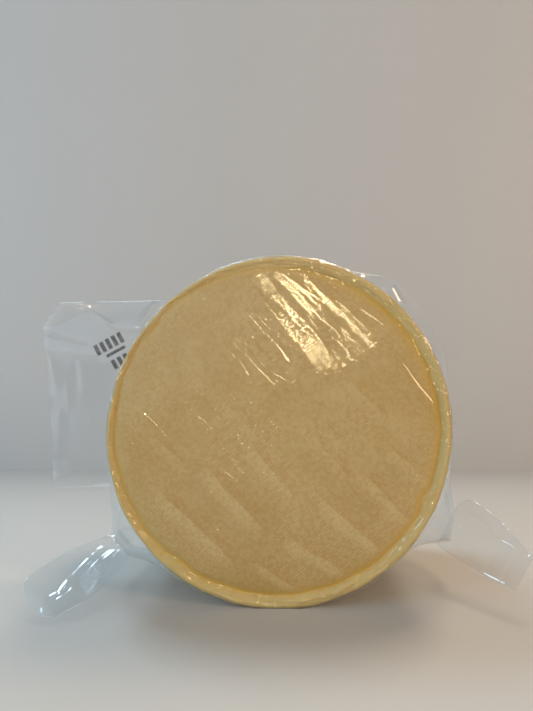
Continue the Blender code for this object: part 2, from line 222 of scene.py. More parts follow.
# ---------------------------------------------------------------- the stage
TARGET = (0.0, 0.0, 0.07)      # the lights are turned towards it
BRIGHT_SIDE = (-0.35, -1.0, 0.35)
DIM, BRIGHT = 0.11, 1.06       # strength of the world light, away from and in the bright direction
COOL, WARM = (0.70, 0.87, 1.0, 1.0), (1.0, 0.78, 0.58, 1.0)
STAGE_HALF_WIDTH, STAGE_FRONT, WALL_LOW, WALL_HIGH = 1.5, -1.8, -0.02, 0.46
# name, place, shape, width, height, colour and power in watts
LIGHTS = (
    ("cool ceiling", (-0.35, 0.25, 1.00), "RECTANGLE", 0.27, 0.27, (0.60, 0.84, 1.0), 5.6),
    ("warm ceiling", (0.30, 0.25, 1.00), "RECTANGLE", 0.27, 0.27, (1.0, 0.82, 0.62), 5.8),
    ("warm lamp", (0.08, -0.95, 0.27), "DISK", 0.10, 0.10, (1.0, 0.80, 0.42), 1.75),
    ("cool window", (-0.86, -0.36, 0.42), "RECTANGLE", 0.60, 0.36, (0.54, 0.80, 1.0), 4.3),
    ("warm side", (0.85, -0.60, 0.50), "RECTANGLE", 0.20, 0.40, (1.0, 0.70, 0.44), 4.6),
)


# ---------------------------------------------------------------- settings
def length(name, description, default):
    return FloatProperty(name=name, description=description, default=default, unit="LENGTH", precision=5)


def angle(name, description, degrees):
    return FloatProperty(name=name, description=description, default=math.radians(degrees), subtype="ANGLE")


def colour(name, description, default):
    return FloatVectorProperty(name=name, description=description, default=default, size=3, subtype="COLOR")


class CheeseSettings(bpy.types.PropertyGroup):
    turn_steps: IntProperty(name="Turn steps", description="Faces round the cheese", default=360)
    lip_lumps: length("Lip lumps", "Height of the lumps on the pressed lip", 0.0010)
    paste: colour("Rind", "Colour of the pressed faces", (0.475, 0.314, 0.116))
    pale: colour("Lip", "Colour of the fresh cheese in the lip", (0.55, 0.41, 0.165))
    deep: colour("Groove", "Colour down in the groove", (0.56, 0.335, 0.050))
    ridge_pitch: length("Cloth pitch", "Distance of the cloth's ridges", 0.0011)
    ridge_angle: angle("Cloth angle", "Direction of the ridges above level", 36.0)
    band_angle: angle("Band angle", "Direction of the faint bands below level", 44.0)


class FilmSettings(bpy.types.PropertyGroup):
    turn_steps: IntProperty(name="Turn steps", description="Faces round the tight film", default=520)
    standoff: length("Standoff", "Gap between the film and the cheese", 0.00022)
    crease_angle: angle("Crease angle", "Direction of the creases below level", 51.0)
    wave_height: length("Wave height", "Height of the broad waves", 0.00013)
    crinkle: length("Crinkle", "Height of the puckers over the lip", 0.0010)
    clear: colour("Film", "Light that one layer lets through", (0.925, 0.955, 0.980))
    ink: colour("Ink", "Colour of the printed bars", (0.10, 0.10, 0.11))
    edge_radius: length("Edge", "Half thickness of the cut edges", 0.00009)
    rim_slack: length("Rim slack", "How far the film stands off the rim's edge", 0.0005)


class StageSettings(bpy.types.PropertyGroup):
    lens: FloatProperty(name="Lens", description="Focal length in mm for a 36 mm long side", default=27.0)
    camera_distance: length("Camera distance", "From the lens to the wheel's face", 0.2164)
    camera_height: length("Camera height", "Of the lens above the table", 0.1029)
    camera_side: length("Camera side", "Of the lens from the wheel's axis", -0.0048)
    wall_gap: length("Wall gap", "From the wheel's face to the wall", 0.258)
    table: colour("Table", "Colour of the table", (0.446, 0.427, 0.412))
    wall: colour("Wall", "Colour of the wall", (0.440, 0.437, 0.450))


# ---------------------------------------------------------------- geometry helpers
def angle_gap(angle, other):
    """Difference of two angles in degrees, from -180 to 180."""
    return (angle - other + 180.0) % 360.0 - 180.0


def clamp(value, low=0.0, high=1.0):
    return min(max(value, low), high)


def smooth_bump(value, low, high):
    share = (value - low) / (high - low)
    if share <= 0.0 or share >= 1.0:
        return 0.0
    return math.sin(math.pi * share) ** 2


def smooth_step(low, high, value):
    share = clamp((value - low) / (high - low))
    return share * share * (3.0 - 2.0 * share)


def wander(*values):
    """Smooth seeded noise from -1 to 1."""
    return noise.noise(Vector(values))


def on_wheel(angle, radius, depth):
    turn = math.radians(angle)
    return Vector((radius * math.cos(turn), depth, CENTRE_HEIGHT + radius * math.sin(turn)))


@functools.lru_cache(maxsize=None)
def rim_radius(angle):
    radius = WHEEL_RADIUS
    for count, height, crest in RIM_WAVES:
        radius += height * math.cos(math.radians(count * angle - crest))
    return radius


def face_angle(angle, face):
    """The angle that places the kinks and wear of a face."""
    return angle if face == FRONT else 180.0 - angle + BACK_TURN


@functools.lru_cache(maxsize=None)
def groove_radius(angle, face):
    place = face_angle(angle, face)
    turn = math.radians(place)
    radius = GROOVE_RADIUS + GROOVE_SHIFT_UP * math.sin(turn) + GROOVE_SHIFT_SIDE * math.cos(turn)
    radius += GROOVE_DRIFT[0] * math.cos(turn - math.radians(GROOVE_DRIFT[1]))
    for kink, half_width, shift in GROOVE_KINKS:
        radius += shift * math.exp(-(angle_gap(place, kink) / half_width) ** 2)
    for height, lumps, seed in GROOVE_WANDER:
        radius += height * ring_wander(place, lumps, seed)
    return radius


@functools.lru_cache(maxsize=None)
def groove_depth(angle, face):
    return GROOVE_DEPTH * (1.0 - WORN_SHARE * smooth_bump(face_angle(angle, face) % 360.0, *WORN_SIDE) ** 0.5)


@functools.lru_cache(maxsize=None)
def round_place(angle, lumps):
    """Place on a circle, for noise that closes on itself."""
    turn = math.radians(angle)
    size = lumps / (2.0 * math.pi)
    return size * math.cos(turn), size * math.sin(turn)


def ring_wander(angle, lumps, *rest):
    """Noise from -1 to 1 round the wheel: lumps is roughly the number of lumps."""
    return wander(*round_place(angle, lumps), *rest)


def curve_point(curve, share):
    """Point at a share 0..1 on a smooth curve through equally spaced points."""
    place = clamp(share) * (len(curve) - 1)
    index = min(int(place), len(curve) - 2)
    part = place - index
    before = curve[max(index - 1, 0)]
    start = curve[index]
    end = curve[index + 1]
    after = curve[min(index + 2, len(curve) - 1)]
    return 0.5 * (2.0 * start + (end - before) * part
                  + (2.0 * before - 5.0 * start + 4.0 * end - after) * part ** 2
                  + (3.0 * start - before - 3.0 * end + after) * part ** 3)


def polyline_point(curve, share):
    """Point at a share 0..1 on straight pieces between equally spaced points."""
    place = clamp(share) * (len(curve) - 1)
    index = min(int(place), len(curve) - 2)
    return curve[index].lerp(curve[index + 1], place - index)


def lip_drop(share):
    """Depth below the lip crest, as a share of the groove's depth, from the groove to the rim."""
    for (start, low), (end, high) in zip(LIP_KEYS, LIP_KEYS[1:]):
        if share <= end:
            part = (share - start) / (end - start)
            return low + (high - low) * (part if end == 1.0 else smooth_step(0.0, 1.0, part))
    return LIP_KEYS[-1][1]


# ---------------------------------------------------------------- making pieces
def keep(obj, replaced):
    """Smooth shading, and what the frame has to know about a finished piece."""
    obj.data.shade_smooth()
    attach(obj, BODY)
    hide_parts(replaced)


def to_object(name, bm, material):
    mesh = bpy.data.meshes.new(name)
    bm.to_mesh(mesh)
    bm.free()
    mesh.materials.append(material)
    obj = bpy.data.objects.new(name, mesh)
    bpy.context.scene.collection.objects.link(obj)
    return obj


def turned(rows, steps, place, closed_end):
    """A profile of rows spun round the Y axis, each vertex then put at place(angle, row)."""
    bm = bmesh.new()
    row_mark = bm.verts.layers.int.new("row")
    verts = []
    for index in range(len(rows)):
        at_axis = index == 0 or (closed_end and index == len(rows) - 1)
        vert = bm.verts.new((0.0 if at_axis else 1.0, index * 0.01, 0.0))
        vert[row_mark] = index
        verts.append(vert)
    edges = [bm.edges.new(pair) for pair in zip(verts, verts[1:])]
    bmesh.ops.spin(bm, geom=verts + edges, cent=(0.0, 0.0, 0.0), axis=(0.0, 1.0, 0.0),
                   angle=2.0 * math.pi, steps=steps, use_merge=True)
    bmesh.ops.remove_doubles(bm, verts=bm.verts, dist=1.0e-5)
    for vert in bm.verts:
        step = round(math.atan2(vert.co.z, vert.co.x) / (2.0 * math.pi) * steps) % steps
        vert.co = place(360.0 * step / steps, *rows[vert[row_mark]])
    bmesh.ops.recalc_face_normals(bm, faces=bm.faces)
    return bm


def sheet(steps_u, steps_v, surface, haze_and_sheen):
    """A grid whose vertices are put at surface(u, v), u and v from 0 to 1. haze(u, v) is kept as
    a value of each vertex."""
    bm = bmesh.new()
    bmesh.ops.create_grid(bm, x_segments=steps_u, y_segments=steps_v, size=1.0)
    layer = bm.verts.layers.float.new("haze_and_sheen")
    for vert in bm.verts:
        u, v = 0.5 * (vert.co.x + 1.0), 0.5 * (vert.co.y + 1.0)
        vert[layer] = haze_and_sheen(u, v)
        vert.co = surface(u, v)
    return bm


def edge_tube(route, radius):
    """A thin round bead along a route, as a mesh."""
    curve = bpy.data.curves.new("bead", "CURVE")
    curve.dimensions = "3D"
    curve.bevel_depth = radius
    curve.bevel_resolution = 1
    curve.use_fill_caps = True
    spline = curve.splines.new("POLY")
    spline.points.add(len(route) - 1)
    for spot, point in zip(spline.points, route):
        spot.co = (*point, 1.0)
    bead = bpy.data.objects.new("bead", curve)
    mesh = bpy.data.meshes.new_from_object(bead)
    bpy.data.objects.remove(bead)
    bpy.data.curves.remove(curve)
    return mesh


# ---------------------------------------------------------------- node helpers
class Nodes:
    """Short names for the nodes of one tree."""

    def __init__(self, tree):
        self.tree = tree

    def add(self, kind, **settings):
        node = self.tree.nodes.new(kind)
        for name, value in settings.items():
            setattr(node, name, value)
        return node

    def link(self, source, target):
        self.tree.links.new(source, target)

    def feed(self, socket, value):
        if isinstance(value, bpy.types.NodeSocket):
            self.link(value, socket)
        else:
            socket.default_value = value

    def math(self, operation, first, second=0.0, third=0.0):
        node = self.add("ShaderNodeMath", operation=operation)
        for socket, value in zip(node.inputs, (first, second, third)):
            self.feed(socket, value)
        return node.outputs[0]

    def times(self, first, second):
        return self.math("MULTIPLY", first, second)

    def noise(self, vector, scale, detail=2.0, roughness=0.5, output="Fac"):
        node = self.add("ShaderNodeTexNoise")
        self.link(vector, node.inputs["Vector"])
        node.inputs["Scale"].default_value = scale
        node.inputs["Detail"].default_value = detail
        node.inputs["Roughness"].default_value = roughness
        return node.outputs[output]

    def span(self, value, low, high, new_low=0.0, new_high=1.0):
        node = self.add("ShaderNodeMapRange", interpolation_type="SMOOTHSTEP")
        for socket, item in zip(node.inputs, (value, low, high, new_low, new_high)):
            self.feed(socket, item)
        return node.outputs[0]

    def mix(self, factor, first, second):
        node = self.add("ShaderNodeMix", data_type="RGBA")
        self.feed(node.inputs[0], factor)
        self.feed(node.inputs[6], first)
        self.feed(node.inputs[7], second)
        return node.outputs[2]

    def xyz(self, vector):
        parts = self.add("ShaderNodeSeparateXYZ")
        self.link(vector, parts.inputs[0])
        return parts.outputs

    def stretched(self, vector, stretch):
        scale = self.add("ShaderNodeVectorMath", operation="MULTIPLY")
        self.link(vector, scale.inputs[0])
        self.feed(scale.inputs[1], stretch)
        return scale.outputs[0]

    def rotated(self, vector, angle):
        """Vector turned round the Y axis."""
        turn = self.add("ShaderNodeVectorRotate", rotation_type="Y_AXIS")
        self.link(vector, turn.inputs["Vector"])
        self.feed(turn.inputs["Angle"], angle)
        return turn.outputs[0]

    def bent(self, vector, scale, detail, amount):
        """Vector moved about by noise."""
        node = self.add("ShaderNodeVectorMath", operation="MULTIPLY_ADD")
        shift = self.noise(vector, scale, detail, output="Color")
        for socket, value in zip(node.inputs, (shift, (amount, amount, amount), vector)):
            self.feed(socket, value)
        return node.outputs[0]

    def compared(self, operation, vector, other):
        """Distance or dot product of two vectors."""
        node = self.add("ShaderNodeVectorMath", operation=operation)
        self.link(vector, node.inputs[0])
        node.inputs[1].default_value = other
        return node.outputs["Value"]

    def vertex_value(self, name):
        return self.add("ShaderNodeAttribute", attribute_name=name).outputs["Fac"]


def new_group(name, inputs, outputs):
    """An empty node group: inputs are names with their default, or with None for a vector."""
    tree = bpy.data.node_groups.new(name, "ShaderNodeTree")
    for label, default in inputs:
        kind = "NodeSocketVector" if default is None else "NodeSocketFloat"
        socket = tree.interface.new_socket(name=label, in_out="INPUT", socket_type=kind)
        if default is not None:
            socket.default_value = default
    for label in outputs:
        tree.interface.new_socket(name=label, in_out="OUTPUT", socket_type="NodeSocketFloat")
    n = Nodes(tree)
    return n, n.add("NodeGroupInput").outputs, n.add("NodeGroupOutput").inputs


def cloth_group():
    """Node group: the fine parallel ridges that the cloth leaves, and the patches where they are strong."""
    n, given, result = new_group("cloth ridges", (("Vector", None), ("Pitch", 0.0011), ("Turn", 0.5)),
                                 ("Ridges", "Patches"))
    rotated = n.rotated(given["Vector"], given["Turn"])
    drift = n.times(n.noise(given["Vector"], 45.0), 0.0022)
    turns = n.math("DIVIDE", n.math("ADD", n.xyz(rotated)["Z"], drift), given["Pitch"])
    wave = n.math("MULTIPLY_ADD", n.math("SINE", n.times(turns, 2.0 * math.pi)), 0.5, 0.5)
    threads = n.noise(n.stretched(rotated, (420.0, 420.0, 1400.0)), 1.0, 1.0)
    n.link(n.times(wave, n.span(threads, 0.25, 0.65, 0.25, 1.0)), result["Ridges"])
    n.link(n.span(n.noise(given["Vector"], 30.0), 0.40, 0.60), result["Patches"])
    return n.tree


def band_group():
    """Node group: one whitish band, sharp on its upper side, and the darker hollow above it."""
    n, given, result = new_group("band", (("Vector", None), ("Turn", 0.7), ("Along", 0.0), ("Across", 0.0),
                                          ("Length", 0.04), ("Width", 0.007)), ("Band", "Hollow"))
    parts = n.xyz(n.rotated(given["Vector"], given["Turn"]))
    along = n.math("DIVIDE", n.math("SUBTRACT", parts["X"], given["Along"]), given["Length"])
    across = n.math("SUBTRACT", parts["Z"], given["Across"])
    depth = n.math("DIVIDE", across, given["Width"])
    ends = n.times(n.span(along, 0.0, 0.25), n.span(along, 0.80, 1.06, 1.0, 0.0))
    body = n.times(n.span(across, -0.0007, 0.0002, 1.0, 0.0), n.span(depth, -1.0, -0.30))
    n.link(n.times(ends, body), result["Band"])
    above = n.times(n.span(across, -0.0004, 0.0006), n.span(depth, 0.10, 0.85, 1.0, 0.0))
    n.link(n.times(ends, above), result["Hollow"])
    return n.tree


def add_bands(n, vector):
    """Masks of all whitish bands and of the hollows above them."""
    bent = n.bent(vector, 70.0, 2.0, 0.0045)
    bands, hollows = 0.0, 0.0
    for start, end, width, strength in FACE_BANDS:
        run = (end[0] - start[0], end[1] - start[1])
        turn = math.atan2(-run[1], run[0])
        along = start[0] * math.cos(turn) - start[1] * math.sin(turn)
        across = start[0] * math.sin(turn) + start[1] * math.cos(turn)
        masks = use_group(n, band_group, "band", bent, Turn=-turn, Along=along + BAND_SHIFT,
                          Across=across + BAND_SHIFT, Length=math.hypot(*run), Width=width)
        bands = n.math("MULTIPLY_ADD", masks["Band"], strength, bands)
        hollows = n.math("MULTIPLY_ADD", masks["Hollow"], strength, hollows)
    return n.math("MINIMUM", bands, 1.0), n.math("MINIMUM", hollows, 1.0)


def crease_group():
    """Node group: long thin creases across one direction, broken off here and there."""
    n, given, result = new_group("film creases", (("Vector", None), ("Turn", 0.9), ("Across", 130.0),
                                                  ("Along", 14.0), ("Width", 0.05)), ("Creases",))
    rotated = n.rotated(n.bent(given["Vector"], 18.0, 1.0, 0.016), given["Turn"])
    scale = n.add("ShaderNodeCombineXYZ")
    for axis, label in (("X", "Along"), ("Y", "Along"), ("Z", "Across")):
        n.link(given[label], scale.inputs[axis])
    place = n.stretched(rotated, scale.outputs[0])
    level = n.math("ABSOLUTE", n.math("SUBTRACT", n.noise(place, 1.0, 0.0), 0.5))
    near = n.math("MAXIMUM", n.math("SUBTRACT", 1.0, n.math("DIVIDE", level, given["Width"])), 0.0)
    ends = n.span(n.noise(n.stretched(rotated, (26.0, 26.0, 75.0)), 1.0, 1.0), 0.46, 0.56)
    n.link(n.times(n.math("POWER", near, 1.4), ends), result["Creases"])
    return n.tree


def use_group(n, make, name, vector, **values):
    """A node that uses a shared group, which is made the first time."""
    tree = bpy.data.node_groups.get(name) or make()
    node = n.add("ShaderNodeGroup", node_tree=tree)
    n.link(vector, node.inputs["Vector"])
    for label, value in values.items():
        node.inputs[label].default_value = value
    return node.outputs


def add_cloth(n, vector, settings):
    return use_group(n, cloth_group, "cloth ridges", vector, Pitch=settings.ridge_pitch,
                     Turn=settings.ridge_angle)


# ---------------------------------------------------------------- materials
def new_material(name):
    """A material with its nodes, the place on the object and the shader."""
    material = bpy.data.materials.new(name)
    material.use_nodes = True
    n = Nodes(material.node_tree)
    return material, n, n.add("ShaderNodeTexCoord").outputs["Object"], n.tree.nodes["Principled BSDF"]


def add_bump(n, height):
    """Normal of a surface raised by a height in millimetres."""
    bump = n.add("ShaderNodeBump")
    bump.inputs["Distance"].default_value = 0.001
    n.link(height, bump.inputs["Height"])
    return bump.outputs[0]


def shade(colour, red=1.0, green=1.0, blue=1.0):
    return colour[0] * red, colour[1] * green, colour[2] * blue, 1.0


def mix_shaders(n, factor, first, second):
    """Sends a mixture of two shaders to the material's output."""
    mix = n.add("ShaderNodeMixShader")
    for socket, source in zip(mix.inputs, (factor, first.outputs[0], second.outputs[0])):
        n.link(source, socket)
    n.link(mix.outputs[0], n.tree.nodes["Material Output"].inputs["Surface"])


def rind_material(settings):
    """Pressed rind: grainy straw gold, slanted whitish bands, cloth ridges, paler lip, deep groove, and painted
    shade that makes it darker towards the bottom.
    """
    material, n, place, shader = new_material("pressed rind")
    cloth = add_cloth(n, place, settings)
    bands, hollows = add_bands(n, place)

    warm = shade(settings.paste, 0.97, 0.86, 0.66)
    light = shade(settings.paste, 1.20, 1.30, 1.62)
    clouds = n.noise(n.stretched(n.rotated(place, -settings.band_angle), (16.0, 24.0, 44.0)), 1.0)
    grain = n.noise(place, 640.0, 3.0, 0.65)
    speckle = n.span(n.noise(place, 900.0, 1.0), 0.52, 0.68)
    colour = n.mix(n.span(clouds, 0.30, 0.60, 0.45, 0.0), shade(settings.paste), warm)
    colour = n.mix(n.span(n.noise(place, 75.0, 3.0), 0.45, 0.72, 0.0, 0.45), colour, light)
    # Painted shade: the rind is made darker towards the bottom, by height on the part, for the light that falls
    # off there.
    painted_low_shade = n.span(n.xyz(place)["Z"], 0.015, 0.085, 0.50, 0.0)
    colour = n.mix(painted_low_shade, colour, shade(settings.paste, 0.86, 0.80, 0.62))
    outer = n.span(n.compared("DISTANCE", place, (0.0, -HALF_DEPTH, CENTRE_HEIGHT)), 0.050, 0.066, 0.0, 0.45)
    colour = n.mix(n.times(outer, n.span(clouds, 0.35, 0.65, 1.0, 0.3)), colour, warm)
    colour = n.mix(n.times(hollows, 0.75), colour, shade(settings.paste, 0.95, 0.80, 0.60))
    colour = n.mix(n.times(bands, n.span(grain, 0.35, 0.60, 0.45, 0.85)), colour, light)
    colour = n.mix(n.span(grain, 0.44, 0.60, 0.0, 0.27), colour, light)
    colour = n.mix(n.span(grain, 0.36, 0.50, 0.30, 0.0), colour, warm)
    colour = n.mix(n.times(speckle, n.math("MULTIPLY_ADD", bands, 0.80, 0.14)), colour, light)
    ridge = n.times(cloth["Ridges"], n.math("MULTIPLY_ADD", cloth["Patches"], 0.80, 0.14))
    ridge = n.times(ridge, n.span(grain, 0.35, 0.60, 0.45, 1.0))
    colour = n.mix(ridge, colour, light)

    turn = math.radians(0.5 * sum(WORN_SIDE))
    side = n.compared("DOT_PRODUCT", place, (math.cos(turn), 0.0, math.sin(turn)))
    middle = CENTRE_HEIGHT * math.sin(turn)
    kept = n.span(side, middle + 0.2 * WHEEL_RADIUS, middle + 0.8 * WHEEL_RADIUS, 1.0, 1.0 - WORN_SHARE)
    lip, groove = n.vertex_value("lip"), n.vertex_value("groove")
    pale_patch = n.times(n.span(n.noise(place, 160.0, 3.0), 0.30, 0.70, 0.60, 1.0), kept)
    colour = n.mix(n.times(lip, pale_patch), colour, shade(settings.pale))
    colour = n.mix(n.times(groove, kept), colour, shade(settings.deep))
    n.link(colour, shader.inputs["Base Color"])

    n.link(n.span(n.noise(place, 90.0), 0.3, 0.7, 0.5, 0.65), shader.inputs["Roughness"])
    shader.inputs["Subsurface Weight"].default_value = 0.2
    shader.inputs["Subsurface Radius"].default_value = (1.0, 0.62, 0.28)
    shader.inputs["Subsurface Scale"].default_value = 0.0025
    shader.inputs["Specular IOR Level"].default_value = 0.25
    relief = n.math("ADD", n.times(ridge, 0.06), n.times(grain, 0.04))
    n.link(add_bump(n, relief), shader.inputs["Normal"])
    return material


FILM_IOR = 1.52


def film_material(name, settings, cheese_settings, tight):
    """Clear film: passes light straight through, mirrors more towards its edges, milky where hazy, and pale
    white where sheen and highlights are painted on.
    It is thin, so its back mirrors as little as its front."""
    material, n, place, shader = new_material(name)
    # Milky white from the vertex value: real haze, plus painted pale sheen over the rim's edge and painted
    # highlights along creases and folds.
    haze_and_sheen = n.vertex_value("haze_and_sheen")
    turn = -settings.crease_angle
    if tight:
        rim = n.vertex_value("rim")
        flat = n.math("SUBTRACT", 1.0, rim)
        cloth = add_cloth(n, place, cheese_settings)
        ridges = n.times(cloth["Ridges"], n.math("MULTIPLY_ADD", cloth["Patches"], 0.028, 0.012))
        long_creases = use_group(n, crease_group, "film creases", place, Turn=turn)["Creases"]
        fine_creases = use_group(n, crease_group, "film creases", place, Turn=turn + 0.16, Across=230.0,
                                 Along=22.0, Width=0.06)["Creases"]
        creases = n.math("ADD", n.times(long_creases, 0.18), n.times(fine_creases, 0.06))
        height = n.times(n.math("ADD", ridges, creases), flat)
        crinkle = n.times(n.noise(place, 260.0, 2.0, 0.6), n.times(rim, 0.42))
        height = n.math("ADD", height, crinkle)
    else:
        height = n.times(n.noise(place, 120.0, 3.0, 0.6), 0.014)
    normal = add_bump(n, height)

    shader.inputs["Base Color"].default_value = (1.0, 1.0, 1.0, 1.0)
    n.link(n.math("MAXIMUM", n.math("MULTIPLY_ADD", haze_and_sheen, -1.1, 1.0), 0.0), shader.inputs["Metallic"])
    n.link(n.math("MULTIPLY_ADD", haze_and_sheen, 0.28, 0.035), shader.inputs["Roughness"])
    n.link(normal, shader.inputs["Normal"])
    clear = n.add("ShaderNodeBsdfTransparent")
    clear.inputs["Color"].default_value = (*settings.clear, 1.0)
    fresnel = n.add("ShaderNodeFresnel")
    behind = n.add("ShaderNodeNewGeometry").outputs["Backfacing"]
    n.link(n.math("MULTIPLY_ADD", behind, 1.0 / FILM_IOR - FILM_IOR, FILM_IOR), fresnel.inputs["IOR"])
    n.link(normal, fresnel.inputs["Normal"])
    mix_shaders(n, n.math("MULTIPLY_ADD", haze_and_sheen, 0.50, fresnel.outputs[0]), clear, shader)
    return material


def ink_material(settings):
    """Worn grey ink."""
    material, n, place, shader = new_material("grey ink")
    worn = n.span(n.noise(place, 900.0), 0.45, 0.7)
    n.link(n.mix(worn, shade(settings.ink), shade(settings.ink, 1.8, 1.8, 1.8)),
           shader.inputs["Base Color"])
    shader.inputs["Roughness"].default_value = 0.6
    return material


def stage_material(name, colour, grain):
    """Faintly clouded paint, see-through from behind."""
    material, n, place, shader = new_material(name)
    n.link(n.mix(n.noise(place, grain, 3.0), shade(colour), shade(colour, 0.96, 0.96, 0.96)),
           shader.inputs["Base Color"])
    shader.inputs["Roughness"].default_value = 0.6
    behind = n.add("ShaderNodeNewGeometry").outputs["Backfacing"]
    mix_shaders(n, behind, shader, n.add("ShaderNodeBsdfTransparent"))
    return material


# ---------------------------------------------------------------- the cheese
# rows over the disc, the lip and half the side
CHEESE_ROWS = (46, 18, 12)
FILM_ROWS = {FRONT: (118, 18, 22), BACK: (64, 12, 22)}


def cheese_point(lumps, angle, zone, share, face):
    rim = rim_radius(angle)
    groove = groove_radius(angle, face)
    lump = lumps * (ring_wander(angle, LIP_LUMPS[0], share * 1.6 + 20.0 * face)
                    + 0.45 * ring_wander(angle, LIP_LUMPS[1], share * 4.0 + 9.0 * face))
    if zone == "disc":
        radius = share * groove
        fall = math.exp(-(groove - radius) / SHOULDER_FALL)
        drop = -DISC_CROWN * (1.0 - share ** 2) + groove_depth(angle, face) * fall
        place = on_wheel(angle, radius, 0.0)
        drop += 0.00012 * wander(place.x * 60.0, place.z * 60.0, face)
        depth = face * (HALF_DEPTH - drop)
    elif zone == "lip":
        radius = groove + share * (rim - groove) + 0.5 * lump * share
        swell = math.sin(math.pi * min(share * 1.15, 1.0))
        fall = GROOVE_DEPTH if share > FILM_LIP_END else groove_depth(angle, face)
        depth = face * (HALF_DEPTH - fall * lip_drop(share) + lump * swell)
    else:
        radius = rim - SIDE_INSET * smooth_step(0.0, 0.4, share) + 0.5 * lump * (1.0 - share)
        depth = face * (HALF_DEPTH - LIP_EDGE) * (1.0 - share)
        radius += 0.00015 * ring_wander(angle, 60.0, depth * 200.0)
    point = on_wheel(angle, radius, depth)
    point.z = max(point.z, 2.0 * TABLE_CLEARANCE)
    return point


def half_rows(disc, lip, side, power=1.0):
    """(zone, share) of the rows from a face's middle to the middle of the side."""
    rows = [("disc", (row / disc) ** power) for row in range(disc + 1)]
    rows += [("lip", row / lip) for row in range(1, lip + 1)]
    return rows + [("side", row / side) for row in range(1, side + 1)]


def cheese_rows():
    """(zone, share, face) from the middle of the front to the middle of the back."""
    half = half_rows(*CHEESE_ROWS, 0.9)
    rows = [(zone, share, FRONT) for zone, share in half]
    return rows + [(zone, share, BACK) for zone, share in reversed(half[:-1])]


def mark(obj, name, rows, value_of_row):
    """Stores a value for each row of a turned piece."""
    attribute = obj.data.attributes.new(name, "FLOAT", "POINT")
    row_mark = obj.data.attributes["row"].data
    values = [value_of_row(*row) for row in rows]
    attribute.data.foreach_set("value", [values[item.value] for item in row_mark])


def lip_mark(zone, share, _face):
    return {"disc": 0.55 * math.exp(-(1.0 - share) / 0.035), "lip": 1.0}.get(zone, 0.8)


def groove_mark(zone, share, _face):
    return {"disc": math.exp(-(1.0 - share) / 0.020), "lip": math.exp(-share / 0.16)}.get(zone, 0.0)


class CHEESE_OT_press_wheel(bpy.types.Operator):
    """Model the pressed wheel with its crowned faces, groove and lumpy lip"""
    bl_idname = "cheese.press_wheel"
    bl_label = "Press the wheel"

    def execute(self, context):
        settings = context.scene.cheese_wheel
        rows = cheese_rows()
        place = functools.partial(cheese_point, settings.lip_lumps)
        bm = turned(rows, settings.turn_steps, place, closed_end=True)
        wheel = to_object("cheese", bm, rind_material(settings))
        mark(wheel, "lip", rows, lip_mark)
        mark(wheel, "groove", rows, groove_mark)
        keep(wheel, "cheese_wheel")
        return {"FINISHED"}


# ---------------------------------------------------------------- the film
def tent_at(angle):
    """The tent over an angle and the share of its width, or None."""
    for start, end, neck in TENTS:
        share = (angle - start) % 360.0 / (end - start)
        if 0.0 < share < 1.0:
            return start, end, neck, share
    return None


def hug_point(angle):
    """The seam of the two film layers where they hug the wheel's side."""
    return on_wheel(angle, rim_radius(angle) - SEAM_TUCK, SEAM_WANDER * ring_wander(angle, 14.0, 3.0))


@functools.lru_cache(maxsize=None)
def seam_point(angle):
    tent = tent_at(angle)
    if tent is None:
        return hug_point(angle)
    start, end, neck, share = tent
    if share < NECK_SHARE[0]:
        return hug_point(start).lerp(neck[0], share / NECK_SHARE[0])
    if share > NECK_SHARE[1]:
        return neck[1].lerp(hug_point(end), (share - NECK_SHARE[1]) / (1.0 - NECK_SHARE[1]))
    return neck[0].lerp(neck[1], (share - NECK_SHARE[0]) / (NECK_SHARE[1] - NECK_SHARE[0]))


def face_waves(x, z, face, settings):
    """Height of the film's waves over the cheese's face."""
    turn = settings.crease_angle
    along = x * math.cos(turn) - z * math.sin(turn)
    across = x * math.sin(turn) + z * math.cos(turn)
    across += 0.0045 * wander(along * 18.0, across * 18.0, 1.5 * face)
    broad = wander(across * 70.0, along * 9.0, 4.0 * face)
    narrow = wander(across * 240.0, along * 13.0, 7.0 * face)
    lumps = wander(x * 230.0, z * 230.0, 2.0 * face)
    return settings.wave_height * (1.35 * broad + 1.35 * narrow + 0.27 * lumps)


def puckers(angle, share, face):
    """Puckers of the film over the lip, whose creases are where this is 0."""
    return ring_wander(angle, 95.0, share * 3.0 + face)


def film_start(angle):
    """Part of the groove's depth that the film sinks into: all of it where it is tight on the left."""
    return FILM_LIP_START + (1.0 - FILM_LIP_START) * smooth_bump(angle % 360.0, *TIGHT_SIDE)


@functools.lru_cache(maxsize=None)
def film_edge(settings, angle, face):
    """Where the film leaves the lip for the side."""
    return film_point(settings, angle, "lip", 1.0, face)


